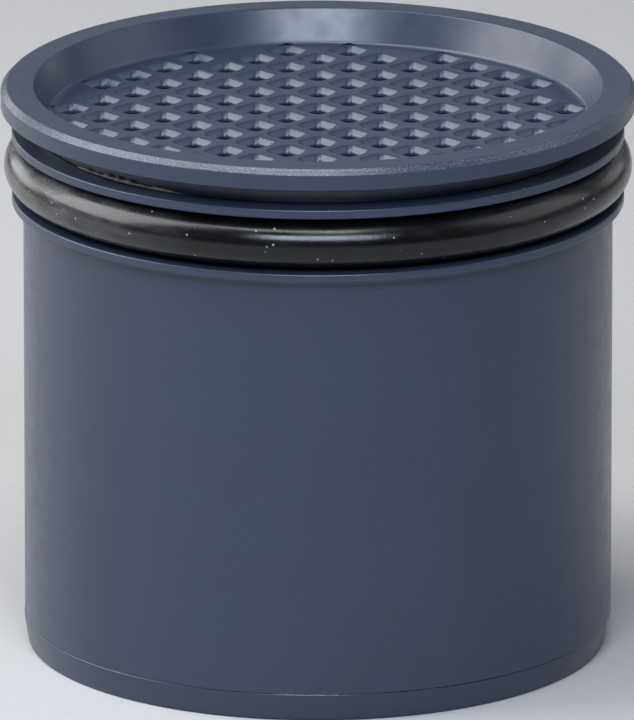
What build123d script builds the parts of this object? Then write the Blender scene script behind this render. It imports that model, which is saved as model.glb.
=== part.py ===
from build123d import *
from math import atan2, degrees, sqrt
import os

# Drop-in magnetic filter cartridge: a sealed canister with a perforated dished inlet lid,
# a strainer basket, and a magnet stack in a dry sleeve. Millimetres. The axis of the
# cartridge is Z, +Z is up, and the origin is the centre of the face that it stands on.
# The canister stands still, the basket lifts out of it, the magnet sleeve lifts out of
# the basket, and the lid with its magnets lifts out of the sleeve.

os.makedirs("parts", exist_ok=True)

# Overall height, and the bore of the pipe or housing that the cartridge drops into
overall_height = 96.3
pipe_bore_diameter = 103.6

# Outside, as distances from the wall of that bore
rim_overhang = 1.2
flange_clearance = 0.6
seal_squeeze = 0.7
body_clearance = 2.5

# Inlet lid: a rim, a dished mouth and a perforated floor
rim_thickness = 3.55
rim_edge = 0.95
rim_land = 5.45
dish_depth = 5.8
dish_wall_run = 2.6
dish_foot_radius = 1.2
lid_floor_thickness = 1.6
neck_undercut = 6.0
spigot_length = 10.0
spigot_wall = 3.0

# Square holes, in rows at 45 degrees to the front
hole_pitch = 7.32
hole_side = 3.8
hole_lip_side = 5.6
hole_lip_depth = 0.9
hole_field_margin = 2.0

# Canister and its groove for the main seal
top_flange_thickness = 1.6
main_seal_section = 8.0
seal_groove_play = 1.45
lower_flange_thickness = 1.5
lower_flange_blend = 0.9
flange_edge = 0.3
groove_wall = 2.5
neck_bore_length = 20.5
body_wall = 2.9

# Bottom cap with the outlet holes and the lugs that centre the basket
cap_band_height = 4.75
cap_proud = 0.1
cap_draft = 0.7
cap_edge_radius = 0.6
cap_floor_thickness = 3.0
cap_spigot_height = 5.0
cap_spigot_wall = 2.2
bond_gap = 0.05
outlet_side = 4.4
outlet_field_margin = 4.0
lug_wall = 2.2
lug_ledge_width = 3.0
lug_ledge_height = 3.0
lug_lip_height = 3.0
lug_count = 6
lug_slot_width = 22.0

# Strainer basket
basket_gap = 4.0
basket_floor_thickness = 2.5
basket_ring_height = 7.0
basket_ring_wall = 7.0
rib_count = 8
rib_width = 4.0
rib_depth = 2.0
hoop_count = 2
hoop_height = 2.5
mesh_thickness = 0.5
mesh_overlap = 4.0

# Running gaps between pieces that part, and the small seal rings in them
slide_clearance = 0.3
ring_section = 2.4
core_ring_section = 2.0
ring_clearance = 0.05

# Magnet sleeve
sleeve_diameter = 25.0
sleeve_wall = 0.8
plug_clearance = 0.4
collar_wall = 3.0
collar_height = 7.0
foot_wall = 1.2
foot_floor = 1.5
foot_height = 5.0
foot_socket_wall = 2.0
foot_socket_height = 4.0

# Magnet stack on its tie rod
rod_diameter = 5.0
rod_fit = 0.05
rod_tail = 1.0
rod_end_gap = 1.1
rod_end_chamfer = 0.5
nut_flats = 8.0
nut_height = 4.0
washer_diameter = 18.0
washer_thickness = 1.0
magnet_count = 4
pole_clearance = 0.7
magnet_recess = 0.5
pole_thickness = 1.6
plug_length = 13.0

# Spider that carries the stack under the lid, and its screws
spider_thickness = 3.0
spider_ring_width = 9.0
spoke_count = 4
spoke_width = 5.0
screw_count = 4
boss_inset = 2.7
boss_diameter = 7.0
screw_diameter = 3.0
screw_length = 9.0
screw_head_diameter = 5.2
screw_head_height = 2.0
screw_recess_diameter = 2.4
screw_recess_depth = 1.2

# Radii, from the pipe bore inwards
pipe_bore_radius = pipe_bore_diameter / 2
rim_radius = pipe_bore_radius + rim_overhang
flange_radius = pipe_bore_radius - flange_clearance
main_seal_radius = pipe_bore_radius + seal_squeeze
groove_radius = main_seal_radius - main_seal_section
body_radius = pipe_bore_radius - body_clearance
body_bore_radius = body_radius - body_wall
neck_bore_radius = groove_radius - groove_wall
neck_radius = rim_radius - neck_undercut
dish_mouth_radius = rim_radius - rim_land
dish_floor_radius = dish_mouth_radius - dish_wall_run
cap_radius = body_radius + cap_proud
cap_spigot_radius = body_bore_radius - bond_gap
cap_bore_radius = cap_spigot_radius - cap_spigot_wall
spigot_radius = neck_bore_radius - slide_clearance
spigot_bore_radius = spigot_radius - spigot_wall
screw_circle_radius = spigot_bore_radius - boss_inset
neck_ring_radius = neck_bore_radius - ring_clearance
basket_radius = neck_bore_radius - basket_gap
mesh_radius = basket_radius - rib_depth
lug_bore_radius = basket_radius + slide_clearance
sleeve_radius = sleeve_diameter / 2
sleeve_bore_radius = sleeve_radius - sleeve_wall
collar_radius = sleeve_radius + collar_wall
foot_radius = sleeve_radius + foot_wall
foot_socket_radius = foot_radius + slide_clearance
plug_radius = sleeve_bore_radius - plug_clearance
core_ring_radius = sleeve_bore_radius - ring_clearance
pole_radius = sleeve_bore_radius - pole_clearance
magnet_radius = pole_radius - magnet_recess
rod_radius = rod_diameter / 2
rod_hole_radius = rod_radius + rod_fit

# Heights, from the rim down
lid_floor_top = overall_height - dish_depth
seat_height = lid_floor_top - lid_floor_thickness
groove_top = seat_height - top_flange_thickness
groove_bottom = groove_top - main_seal_section - seal_groove_play
shoulder_height = groove_bottom - lower_flange_thickness
neck_bore_bottom = seat_height - neck_bore_length
neck_cone_bottom = neck_bore_bottom - (body_bore_radius - neck_bore_radius)
spigot_bottom = seat_height - spigot_length
lid_ring_height = (seat_height + spigot_bottom) / 2
spider_bottom = spigot_bottom - spider_thickness
plug_bottom = spider_bottom - plug_length
core_ring_height = (spider_bottom + plug_bottom) / 2
basket_top = spider_bottom - slide_clearance
basket_ring_bottom = basket_top - basket_ring_height
basket_ring_middle = (basket_top + basket_ring_bottom) / 2
sleeve_top = spider_bottom - slide_clearance

# Heights, from the standing face up
cap_spigot_top = cap_band_height + cap_spigot_height
lug_ledge_top = cap_floor_thickness + lug_ledge_height
lug_top = lug_ledge_top + lug_lip_height
basket_floor_top = lug_ledge_top + basket_floor_thickness
sleeve_bottom = basket_floor_top + foot_floor
rod_bottom = sleeve_bottom + sleeve_wall + rod_end_gap
rod_top = spigot_bottom + nut_height + rod_tail
lower_nut_bottom = rod_bottom + rod_tail
lower_washer_bottom = lower_nut_bottom + nut_height
stack_bottom = lower_washer_bottom + washer_thickness
stack_top = plug_bottom - washer_thickness
all_poles = (magnet_count + 1) * pole_thickness
magnet_length = (stack_top - stack_bottom - all_poles) / magnet_count


def save(part, name):
    """Labels one finished piece and writes it."""
    part.part.label = name
    export_step(part.part, f"parts/{name}.step")


def tube(outer, inner, bottom, top):
    """A plain round tube, from its two radii and the heights of its ends."""
    with BuildPart() as result:
        with BuildSketch(Plane.XY.offset(bottom)):
            Circle(outer)
            Circle(inner, mode=Mode.SUBTRACT)
        extrude(amount=top - bottom)
    return result


def seal_ring(section, outer, height):
    """A ring of round section, from its outer radius and the height of its middle."""
    with BuildPart() as result:
        with BuildSketch(Plane.XZ):
            with Locations((outer - section / 2, height)):
                Circle(section / 2)
        revolve(axis=Axis.Z)
    return result


def ring_groove(section, outer, wall, height):
    """Cuts the groove of a seal ring into the round wall of the part being built."""
    depth = wall - outer + section + ring_clearance
    with BuildSketch(Plane.XZ) as groove:
        with Locations((wall, height)):
            Rectangle(2 * depth, section + 2 * ring_clearance)
    revolve(groove.sketch, axis=Axis.Z, mode=Mode.SUBTRACT)


def rod_nut(bottom):
    """A hexagon nut on the tie rod."""
    with BuildPart() as result:
        with BuildSketch(Plane.XY.offset(bottom)):
            RegularPolygon(nut_flats / sqrt(3), 6)
            Circle(rod_hole_radius, mode=Mode.SUBTRACT)
        extrude(amount=nut_height)
    return result


def hole_places(field_radius):
    """Centres of the square holes, those whose centre lies inside the field."""
    across = 2 * int(field_radius / hole_pitch + 1)
    grid = GridLocations(hole_pitch, hole_pitch, across, across)
    return [
        place for place in grid.local_locations if place.position.length <= field_radius
    ]


def hole_plane(height):
    """A level plane whose X and Y run along the rows of holes."""
    return Plane.XY.rotated((0, 0, 45)).offset(height)


# Canister, which stands still
with BuildPart() as canister_body:
    with BuildSketch(Plane.XZ):
        with BuildLine():
            Polyline(
                (neck_bore_radius, seat_height),
                (flange_radius, seat_height),
                (flange_radius, groove_top),
                (groove_radius, groove_top),
                (groove_radius, groove_bottom),
                (flange_radius, groove_bottom),
                (flange_radius, shoulder_height),
                (body_radius, shoulder_height),
                (body_radius, cap_band_height),
                (body_bore_radius, cap_band_height),
                (body_bore_radius, neck_cone_bottom),
                (neck_bore_radius, neck_bore_bottom),
                close=True,
            )
        make_face()
    revolve(axis=Axis.Z)
    rings = canister_body.edges().filter_by(GeomType.CIRCLE)
    flange_rings = [ring for ring in rings if abs(ring.radius - flange_radius) < flange_edge]
    fillet(flange_rings, flange_edge)
    rings = canister_body.edges().filter_by(GeomType.CIRCLE)
    body_rings = [ring for ring in rings if abs(ring.radius - body_radius) < flange_edge]
    fillet(ShapeList(body_rings).sort_by(Axis.Z)[-1], lower_flange_blend)
save(canister_body, "canister_body")

main_seal_ring = seal_ring(
    main_seal_section, main_seal_radius, (groove_top + groove_bottom) / 2
)
save(main_seal_ring, "main_seal_ring")

with BuildPart() as bottom_cap:
    with BuildSketch(Plane.XZ):
        with BuildLine():
            Polyline(
                (0, 0),
                (cap_radius - cap_draft, 0),
                (cap_radius, cap_band_height),
                (cap_spigot_radius, cap_band_height),
                (cap_spigot_radius, cap_spigot_top),
                (cap_bore_radius, cap_spigot_top),
                (cap_bore_radius, cap_floor_thickness),
                (0, cap_floor_thickness),
                close=True,
            )
        make_face()
    revolve(axis=Axis.Z)
    standing_edge = bottom_cap.edges().filter_by(GeomType.CIRCLE).sort_by(Axis.Z)[0]
    fillet(standing_edge, cap_edge_radius)
    with BuildSketch(hole_plane(0)):
        with Locations(*hole_places(cap_bore_radius - outlet_field_margin)):
            Rectangle(outlet_side, outlet_side)
    extrude(amount=cap_floor_thickness, mode=Mode.SUBTRACT)
    with BuildSketch(Plane.XZ):
        with BuildLine():
            Polyline(
                (lug_bore_radius - lug_ledge_width, cap_floor_thickness),
                (lug_bore_radius + lug_wall, cap_floor_thickness),
                (lug_bore_radius + lug_wall, lug_top),
                (lug_bore_radius, lug_top),
                (lug_bore_radius, lug_ledge_top),
                (lug_bore_radius - lug_ledge_width, lug_ledge_top),
                close=True,
            )
        make_face()
    revolve(axis=Axis.Z)
    with BuildSketch(Plane.XY.offset(cap_floor_thickness)):
        with PolarLocations(lug_bore_radius, lug_count):
            Rectangle(2 * (lug_ledge_width + lug_wall), lug_slot_width)
        Circle(cap_bore_radius, mode=Mode.INTERSECT)
    extrude(amount=lug_top - cap_floor_thickness, mode=Mode.SUBTRACT)
save(bottom_cap, "bottom_cap")

# Strainer basket, which lifts out of the canister
with BuildPart() as basket_floor:
    with BuildSketch(Plane.XY.offset(lug_ledge_top)):
        Circle(basket_radius)
    extrude(amount=basket_floor_thickness)
    with BuildSketch(Plane.XY.offset(basket_floor_top)):
        Circle(foot_socket_radius + foot_socket_wall)
        Circle(foot_socket_radius, mode=Mode.SUBTRACT)
    extrude(amount=foot_socket_height)
save(basket_floor, "basket_floor")

hoop_step = (basket_ring_bottom - basket_floor_top) / (hoop_count + 1)
with BuildPart() as basket_cage:
    with BuildSketch(Plane.XY.offset(basket_floor_top)):
        with PolarLocations(mesh_radius + rib_depth / 2, rib_count):
            Rectangle(2 * rib_depth, rib_width)
        Circle(basket_radius, mode=Mode.INTERSECT)
        Circle(mesh_radius, mode=Mode.SUBTRACT)
    extrude(amount=basket_ring_bottom - basket_floor_top)
    for number in range(1, hoop_count + 1):
        hoop_bottom = basket_floor_top + number * hoop_step - hoop_height / 2
        with BuildSketch(Plane.XY.offset(hoop_bottom)):
            Circle(basket_radius)
            Circle(mesh_radius, mode=Mode.SUBTRACT)
        extrude(amount=hoop_height)
save(basket_cage, "basket_cage")

basket_mesh = tube(
    mesh_radius,
    mesh_radius - mesh_thickness,
    basket_floor_top,
    basket_ring_bottom + mesh_overlap,
)
save(basket_mesh, "basket_mesh")

with BuildPart() as basket_top_ring:
    with BuildSketch(Plane.XY.offset(basket_ring_bottom)):
        Circle(spigot_radius)
        Circle(spigot_radius - basket_ring_wall, mode=Mode.SUBTRACT)
    extrude(amount=basket_ring_height)
    with BuildSketch(Plane.XY.offset(basket_ring_bottom)):
        Circle(mesh_radius)
    extrude(amount=mesh_overlap, mode=Mode.SUBTRACT)
    ring_groove(ring_section, neck_ring_radius, spigot_radius, basket_ring_middle)
save(basket_top_ring, "basket_top_ring")

basket_seal_ring = seal_ring(ring_section, neck_ring_radius, basket_ring_middle)
save(basket_seal_ring, "basket_seal_ring")

# Magnet sleeve, which lifts out of the basket
with BuildPart() as magnet_sleeve:
    with BuildSketch(Plane.XY.offset(sleeve_bottom)):
        Circle(sleeve_radius)
    extrude(amount=sleeve_top - sleeve_bottom)
    with BuildSketch(Plane.XY.offset(sleeve_bottom + sleeve_wall)):
        Circle(sleeve_bore_radius)
    extrude(amount=sleeve_top - sleeve_bottom - sleeve_wall, mode=Mode.SUBTRACT)
save(magnet_sleeve, "magnet_sleeve")

sleeve_collar = tube(collar_radius, sleeve_radius, sleeve_top - collar_height, sleeve_top)
save(sleeve_collar, "sleeve_collar")

with BuildPart() as sleeve_foot:
    with BuildSketch(Plane.XY.offset(basket_floor_top)):
        Circle(foot_radius)
    extrude(amount=foot_height)
    with BuildSketch(Plane.XY.offset(sleeve_bottom)):
        Circle(sleeve_radius)
    extrude(amount=foot_height - foot_floor, mode=Mode.SUBTRACT)
save(sleeve_foot, "sleeve_foot")

# Inlet lid, which lifts off with the magnets
with BuildPart() as inlet_lid:
    with BuildSketch(Plane.XZ):
        with BuildLine():
            Polyline(
                (0, seat_height),
                (neck_radius, seat_height),
                (neck_radius, overall_height - rim_thickness),
                (rim_radius, overall_height - rim_thickness),
                (rim_radius, overall_height - rim_edge),
                (rim_radius - rim_edge, overall_height),
                (dish_mouth_radius, overall_height),
                (dish_floor_radius, lid_floor_top),
                (0, lid_floor_top),
                close=True,
            )
        make_face()
    revolve(axis=Axis.Z)
    rings = inlet_lid.edges().filter_by(GeomType.CIRCLE)
    foot_rings = [ring for ring in rings if abs(ring.radius - dish_floor_radius) < rim_edge]
    fillet(foot_rings, dish_foot_radius)
    lid_holes = hole_places(dish_floor_radius - hole_field_margin)
    with BuildSketch(hole_plane(seat_height)):
        with Locations(*lid_holes):
            Rectangle(hole_side, hole_side)
    extrude(amount=lid_floor_thickness, mode=Mode.SUBTRACT)
    with BuildSketch(hole_plane(lid_floor_top)):
        with Locations(*lid_holes):
            Rectangle(hole_lip_side, hole_lip_side)
    extrude(amount=dish_depth, mode=Mode.SUBTRACT)
    with BuildSketch(hole_plane(lid_floor_top)):
        with Locations(*lid_holes):
            Rectangle(hole_lip_side, hole_lip_side)
    lip_run = (hole_lip_side - hole_side) / 2
    lip_angle = degrees(atan2(lip_run, hole_lip_depth))
    extrude(amount=-hole_lip_depth, taper=lip_angle, mode=Mode.SUBTRACT)
    with BuildSketch(Plane.XY.offset(spigot_bottom)):
        Circle(spigot_radius)
        Circle(spigot_bore_radius, mode=Mode.SUBTRACT)
        with PolarLocations(screw_circle_radius, screw_count):
            Circle(boss_diameter / 2)
    extrude(amount=spigot_length)
    with BuildSketch(Plane.XY.offset(spigot_bottom)):
        with PolarLocations(screw_circle_radius, screw_count):
            Circle(screw_diameter / 2)
    extrude(amount=screw_length - spider_thickness, mode=Mode.SUBTRACT)
    ring_groove(ring_section, neck_ring_radius, spigot_radius, lid_ring_height)
save(inlet_lid, "inlet_lid")

lid_seal_ring = seal_ring(ring_section, neck_ring_radius, lid_ring_height)
save(lid_seal_ring, "lid_seal_ring")

spider_ring_bore = spigot_radius - spider_ring_width
with BuildPart() as core_spider:
    with BuildSketch(Plane.XY.offset(spider_bottom)):
        Circle(spigot_radius)
        Circle(spider_ring_bore, mode=Mode.SUBTRACT)
        Circle(collar_radius)
        with PolarLocations(spider_ring_bore / 2, spoke_count):
            Rectangle(spider_ring_bore, spoke_width)
    extrude(amount=spider_thickness)
    with BuildSketch(Plane.XY.offset(plug_bottom)):
        Circle(plug_radius)
    extrude(amount=plug_length)
    ring_groove(core_ring_section, core_ring_radius, plug_radius, core_ring_height)
    with BuildSketch(Plane.XY.offset(plug_bottom)):
        Circle(rod_hole_radius)
    extrude(amount=spigot_bottom - plug_bottom, mode=Mode.SUBTRACT)
    with BuildSketch(Plane.XY.offset(spider_bottom)):
        with PolarLocations(screw_circle_radius, screw_count):
            Circle(screw_diameter / 2)
    extrude(amount=spider_thickness, mode=Mode.SUBTRACT)
    with BuildSketch(Plane.XY.offset(spider_bottom)):
        with PolarLocations(screw_circle_radius, screw_count):
            Circle(screw_head_diameter / 2)
    extrude(amount=screw_head_height, mode=Mode.SUBTRACT)
save(core_spider, "core_spider")

with BuildPart() as spider_screws:
    with BuildSketch(Plane.XY.offset(spider_bottom)):
        with PolarLocations(screw_circle_radius, screw_count):
            Circle(screw_head_diameter / 2)
    extrude(amount=screw_head_height)
    with BuildSketch(Plane.XY.offset(spider_bottom)):
        with PolarLocations(screw_circle_radius, screw_count):
            Circle(screw_diameter / 2)
    extrude(amount=screw_length)
    with BuildSketch(Plane.XY.offset(spider_bottom)):
        with PolarLocations(screw_circle_radius, screw_count):
            RegularPolygon(screw_recess_diameter / 2, 6)
    extrude(amount=screw_recess_depth, mode=Mode.SUBTRACT)
save(spider_screws, "spider_screws")

core_seal_ring = seal_ring(core_ring_section, core_ring_radius, core_ring_height)
save(core_seal_ring, "core_seal_ring")

with BuildPart() as tie_rod:
    with BuildSketch(Plane.XY.offset(rod_bottom)):
        Circle(rod_radius)
    extrude(amount=rod_top - rod_bottom)
    chamfer(tie_rod.edges().filter_by(GeomType.CIRCLE), rod_end_chamfer)
save(tie_rod, "tie_rod")

save(rod_nut(spigot_bottom), "upper_rod_nut")
save(rod_nut(lower_nut_bottom), "lower_rod_nut")

washer_radius = washer_diameter / 2
upper_washer = tube(washer_radius, rod_hole_radius, stack_top, plug_bottom)
save(upper_washer, "upper_washer")
lower_washer = tube(washer_radius, rod_hole_radius, lower_washer_bottom, stack_bottom)
save(lower_washer, "lower_washer")

for number in range(magnet_count + 1):
    pole_bottom = stack_bottom + number * (magnet_length + pole_thickness)
    pole_top = pole_bottom + pole_thickness
    pole_piece = tube(pole_radius, rod_hole_radius, pole_bottom, pole_top)
    save(pole_piece, f"pole_piece_{number + 1}")
    if number < magnet_count:
        magnet = tube(
            magnet_radius, rod_hole_radius, pole_top, pole_top + magnet_length
        )
        save(magnet, f"ring_magnet_{number + 1}")
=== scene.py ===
from math import cos, pi, radians, sin, sqrt, tan

import bpy
from bpy.props import FloatProperty, FloatVectorProperty, IntProperty, PointerProperty
from mathutils import Matrix, Vector


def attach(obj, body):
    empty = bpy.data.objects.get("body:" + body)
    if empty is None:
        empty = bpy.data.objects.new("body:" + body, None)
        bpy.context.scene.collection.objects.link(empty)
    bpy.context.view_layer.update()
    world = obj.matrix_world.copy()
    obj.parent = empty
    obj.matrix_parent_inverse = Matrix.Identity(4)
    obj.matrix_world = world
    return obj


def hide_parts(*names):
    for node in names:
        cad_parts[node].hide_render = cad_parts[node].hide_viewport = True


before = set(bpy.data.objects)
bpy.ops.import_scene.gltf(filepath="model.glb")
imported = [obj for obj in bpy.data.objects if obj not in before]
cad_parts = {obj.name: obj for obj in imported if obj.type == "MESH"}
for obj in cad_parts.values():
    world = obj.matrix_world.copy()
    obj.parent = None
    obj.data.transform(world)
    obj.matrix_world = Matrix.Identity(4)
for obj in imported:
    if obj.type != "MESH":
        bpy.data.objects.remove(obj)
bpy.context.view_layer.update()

bl_info = {
    "name": "Magnetic Filter Cartridge",
    "version": (1, 0, 0),
    "blender": (4, 5, 0),
    "location": "View3D > Sidebar > Cartridge",
    "description": "Builds a drop-in magnetic filter cartridge: canister, seal ring, perforated lid, "
    "strainer basket and magnet core",
    "category": "Object",
}

# The cartridge stands on the origin and its axis is Z. Lengths in the code below are in
# millimetres where a name or a profile says so, and MM turns them into metres.
MM = 0.001

# Radius on which the spider's four screws and their bosses stand
SCREW_CIRCLE = 36.0 * MM


# ---------------------------------------------------------------------------
# Sizes and colours that a user would change
# ---------------------------------------------------------------------------


def length(name, description, default_mm):
    """A length property, given in millimetres and kept in metres."""
    return FloatProperty(
        name=name,
        description=description,
        default=default_mm * MM,
        min=0.0,
        precision=5,
        subtype="DISTANCE",
        unit="LENGTH",
    )


def hex_to_linear(code):
    """An sRGB hex value such as #3A404B as linear red, green and blue."""
    channels = (int(code[i : i + 2], 16) / 255 for i in (1, 3, 5))
    return tuple(c / 12.92 if c <= 0.04045 else ((c + 0.055) / 1.055) ** 2.4 for c in channels)


def colour(name, description, code):
    """A colour property, given as an sRGB hex value."""
    return FloatVectorProperty(
        name=name,
        description=description,
        default=hex_to_linear(code),
        min=0.0,
        max=1.0,
        size=3,
        subtype="COLOR",
    )


class CartridgeHousing(bpy.types.PropertyGroup):
    rim_radius: length("Rim radius", "Outer radius of the lid's rim", 53.0)
    height: length("Height", "Overall height, up to the rim's top face", 96.3)
    rim_thickness: length("Rim thickness", "Height of the rim's outer edge", 3.55)
    mouth_radius: length("Dish mouth radius", "Radius of the dish at the rim's top face", 47.55)
    floor_radius: length("Dish floor radius", "Radius of the dish at its floor", 44.95)
    dish_depth: length("Dish depth", "From the rim's top face down to the perforated floor", 5.8)
    floor_thickness: length("Floor thickness", "Thickness of the perforated floor", 1.6)
    neck_radius: length("Neck radius", "Radius of the neck under the rim", 47.0)
    flange_radius: length("Flange radius", "Radius of the two flanges beside the seal", 51.2)
    body_radius: length("Body radius", "Outer radius of the canister", 49.3)
    seam_height: length("Seam height", "Height of the seam between canister and outlet cap", 4.75)


class CartridgePerforation(bpy.types.PropertyGroup):
    pitch: length("Hole pitch", "Distance between neighbouring holes along a row", 7.32)
    side: length("Hole side", "Side of an inlet hole where it is narrowest", 3.72)
    lip_side: length("Lip side", "Side of the square mouth of an inlet hole", 5.6)
    lip_depth: length("Lip depth", "How deep the sloped mouth of an inlet hole goes", 0.9)
    field_radius: length("Inlet field", "Inlet holes have their centres inside this radius", 42.95)
    outlet_side: length("Outlet side", "Side of an outlet hole", 4.4)
    outlet_field: length("Outlet field", "Outlet holes have their centres inside this radius", 40.15)


class CartridgeSeals(bpy.types.PropertyGroup):
    main_section: length("Main seal section", "Thickness of the main seal's round cord", 8.0)
    main_radius: length("Main seal radius", "Outer radius of the main seal", 52.5)
    main_height: length("Main seal height", "Height of the middle of the main seal", 82.575)
    small_section: length("Small seal section", "Thickness of the lid and basket seals", 2.4)


class CartridgeBasket(bpy.types.PropertyGroup):
    wire: length("Wire diameter", "Diameter of the wire of the strainer mesh", 0.32)
    warps: IntProperty(
        name="Upright wires", description="Wires around the mesh, an even number", default=104, min=8
    )
    wefts: IntProperty(
        name="Level wires", description="Wires up the height of the mesh", default=30, min=4
    )
    ribs: IntProperty(name="Ribs", description="Upright ribs of the basket", default=8, min=3)


class CartridgeCore(bpy.types.PropertyGroup):
    magnets: IntProperty(
        name="Magnets", description="Ring magnets on the tie rod", default=4, min=1
    )
    magnet_radius: length("Magnet radius", "Outer radius of a ring magnet", 10.5)
    pole_radius: length("Pole radius", "Outer radius of a pole piece", 11.0)
    rod_radius: length("Rod radius", "Radius of the tie rod", 2.5)
    thread_pitch: length("Thread pitch", "Pitch of the thread on the tie rod", 0.8)


class CartridgeColours(bpy.types.PropertyGroup):
    housing: colour("Housing plastic", "Blue-grey anthracite of the moulded housing", "#2E384A")
    housing_cloud: colour("Housing clouding", "Second tone in the housing's clouding", "#2A3344")
    inner: colour("Inner plastic", "Black moulded plastic of the inner pieces", "#1B1D21")
    rubber: colour("Seal rubber", "Greased black rubber", "#08080A")
    # Also mixed into the pale film on the seal's flanks, which is partly painted sheen
    dust: colour("Dust", "House dust and lint on the seal and the housing", "#C9CACB")
    steel: colour("Stainless steel", "Stainless wire, tube and fasteners", "#B9BBBD")
    pole: colour("Pole steel", "Turned mild steel of the pole pieces", "#8E8F90")
    brass: colour("Brass", "Turned brass of the washers", "#C9A45C")
    nickel: colour("Nickel plate", "Nickel plating of the magnets", "#C6C1B5")
    deposit: colour("Dried deposit", "Pale brown residue at the foot of the neck", "#ADA9A3")


class CartridgeStage(bpy.types.PropertyGroup):
    elevation: FloatProperty(
        name="Camera elevation",
        description="Angle of the camera above level",
        default=radians(16.5),
        subtype="ANGLE",
        unit="ROTATION",
    )
    distance: length("Camera distance", "From the camera to the point it looks at", 3180.0)
    aim_height: length("Aim height", "Height of the point that the camera looks at", 48.02)
    focal_length: FloatProperty(
        name="Focal length", description="Focal length on a 36 mm sensor", default=948.15, subtype="NONE"
    )


# ---------------------------------------------------------------------------
# Small helpers
# ---------------------------------------------------------------------------


def add(tree, kind, values=None, links=None, **settings):
    """Adds one node with its settings, socket values and incoming links."""
    made = tree.nodes.new(kind)
    for key, value in settings.items():
        setattr(made, key, value)
    for key, value in (values or {}).items():
        made.inputs[key].default_value = value
    for key, source in (links or {}).items():
        tree.links.new(source, made.inputs[key])
    return made


def maths(tree, operation, *parts):
    """A sum on sockets or plain numbers, as the socket of its result."""
    made = add(tree, "ShaderNodeMath", operation=operation)
    for socket, part in zip(made.inputs, parts):
        if isinstance(part, (int, float)):
            socket.default_value = part
        else:
            tree.links.new(part, socket)
    return made.outputs[0]


def new_tree(name, *inputs):
    """An empty geometry tree with a geometry input and output, and the named inputs."""
    tree = bpy.data.node_groups.new(name, "GeometryNodeTree")
    tree.interface.new_socket("Geometry", in_out="INPUT", socket_type="NodeSocketGeometry")
    for label, kind in inputs:
        tree.interface.new_socket(label, in_out="INPUT", socket_type="NodeSocket" + kind)
    tree.interface.new_socket("Geometry", in_out="OUTPUT", socket_type="NodeSocketGeometry")
    return tree, add(tree, "NodeGroupInput")


def close_tree(tree, inputs, geometry):
    """Ends a tree in Realize Instances and Set Material."""
    real = add(tree, "GeometryNodeRealizeInstances", links={"Geometry": geometry})
    smooth = add(tree, "GeometryNodeSetShadeSmooth", links={"Geometry": real.outputs[0]})
    painted = add(
        tree,
        "GeometryNodeSetMaterial",
        links={"Geometry": smooth.outputs[0], "Material": inputs.outputs["Material"]},
    )
    add(tree, "NodeGroupOutput", links={"Geometry": painted.outputs[0]})
    return tree


def link(name, mesh):
    """A new object at the origin that holds the mesh."""
    made = bpy.data.objects.new(name, mesh)
    bpy.context.scene.collection.objects.link(made)
    return made


def grow(source, tree, **values):
    """Adds a tree to an object and sets its inputs by the sockets' identifiers."""
    modifier = source.modifiers.new(tree.name, "NODES")
    modifier.node_group = tree
    named = {key.replace("_", " "): value for key, value in values.items()}
    for item in tree.interface.items_tree:
        if item.item_type == "SOCKET" and item.in_out == "INPUT" and item.name in named:
            modifier[item.identifier] = named.pop(item.name)
    if named:
        raise ValueError(f"tree {tree.name} has no input {sorted(named)}")
    return source


def settle(name, source, sharp_above=40.0, weighted=True, turn_out=True):
    """Evaluates an object's modifiers into a plain mesh and gives it clean shading."""
    layer = bpy.context.view_layer
    layer.update()
    graph = bpy.context.evaluated_depsgraph_get()
    mesh = bpy.data.meshes.new_from_object(source.evaluated_get(graph), depsgraph=graph)
    bpy.data.objects.remove(source)
    if not mesh.polygons:
        raise RuntimeError(f"{name} came out empty")
    if turn_out and signed_volume(mesh) < 0:
        mesh.flip_normals()
    mesh.shade_smooth()
    mesh.set_sharp_from_angle(angle=radians(sharp_above))
    made = link(name, mesh)
    mesh.name = name
    if weighted:
        weigh = made.modifiers.new("even shading", "WEIGHTED_NORMAL")
        weigh.keep_sharp = True
        weigh.weight = 100
        layer.update()
        graph = bpy.context.evaluated_depsgraph_get()
        shaded = bpy.data.meshes.new_from_object(made.evaluated_get(graph), depsgraph=graph)
        made.modifiers.clear()
        made.data = shaded
        shaded.name = name
        bpy.data.meshes.remove(mesh)
    return made


def signed_volume(mesh):
    """Volume inside a mesh, below zero where its faces point inwards."""
    mesh.calc_loop_triangles()
    total = 0.0
    points = mesh.vertices
    for triangle in mesh.loop_triangles:
        a, b, c = (points[i].co for i in triangle.vertices)
        total += a.dot(b.cross(c))
    return total / 6


def place(piece, body, slot, *nodes):
    """Puts a finished piece on its body and hides the CAD nodes that it stands for. Its slot is not used."""
    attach(piece, body)
    if nodes:
        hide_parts(*nodes)
    return piece


def plug(across, low, high):
    """The outline of a plain cylinder on the axis, for cutting a bore."""
    return rounded([(0.0, low, 0.0), (across, low, 0.0), (across, high, 0.0), (0.0, high, 0.0)])


def rounded(corners, steps=4):
    """Turns (radius, height, edge radius) corners into points, with each edge rounded."""
    points = []
    count = len(corners)
    for number, (across, up, edge) in enumerate(corners):
        here = Vector((across, up))
        if edge <= 0:
            points.append(here)
            continue
        back = Vector(corners[number - 1][:2]) - here
        ahead = Vector(corners[(number + 1) % count][:2]) - here
        half = back.angle(ahead) / 2
        back.normalize()
        ahead.normalize()
        centre = here + (back + ahead).normalized() * (edge / sin(half))
        first = here + back * (edge / tan(half)) - centre
        sweep = (pi - 2 * half) * (-1 if first.cross(here + ahead * (edge / tan(half)) - centre) < 0 else 1)
        for step in range(steps + 1):
            turn = sweep * step / steps
            points.append(
                centre
                + Vector(
                    (
                        first.x * cos(turn) - first.y * sin(turn),
                        first.x * sin(turn) + first.y * cos(turn),
                    )
                )
            )
    return points


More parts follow.
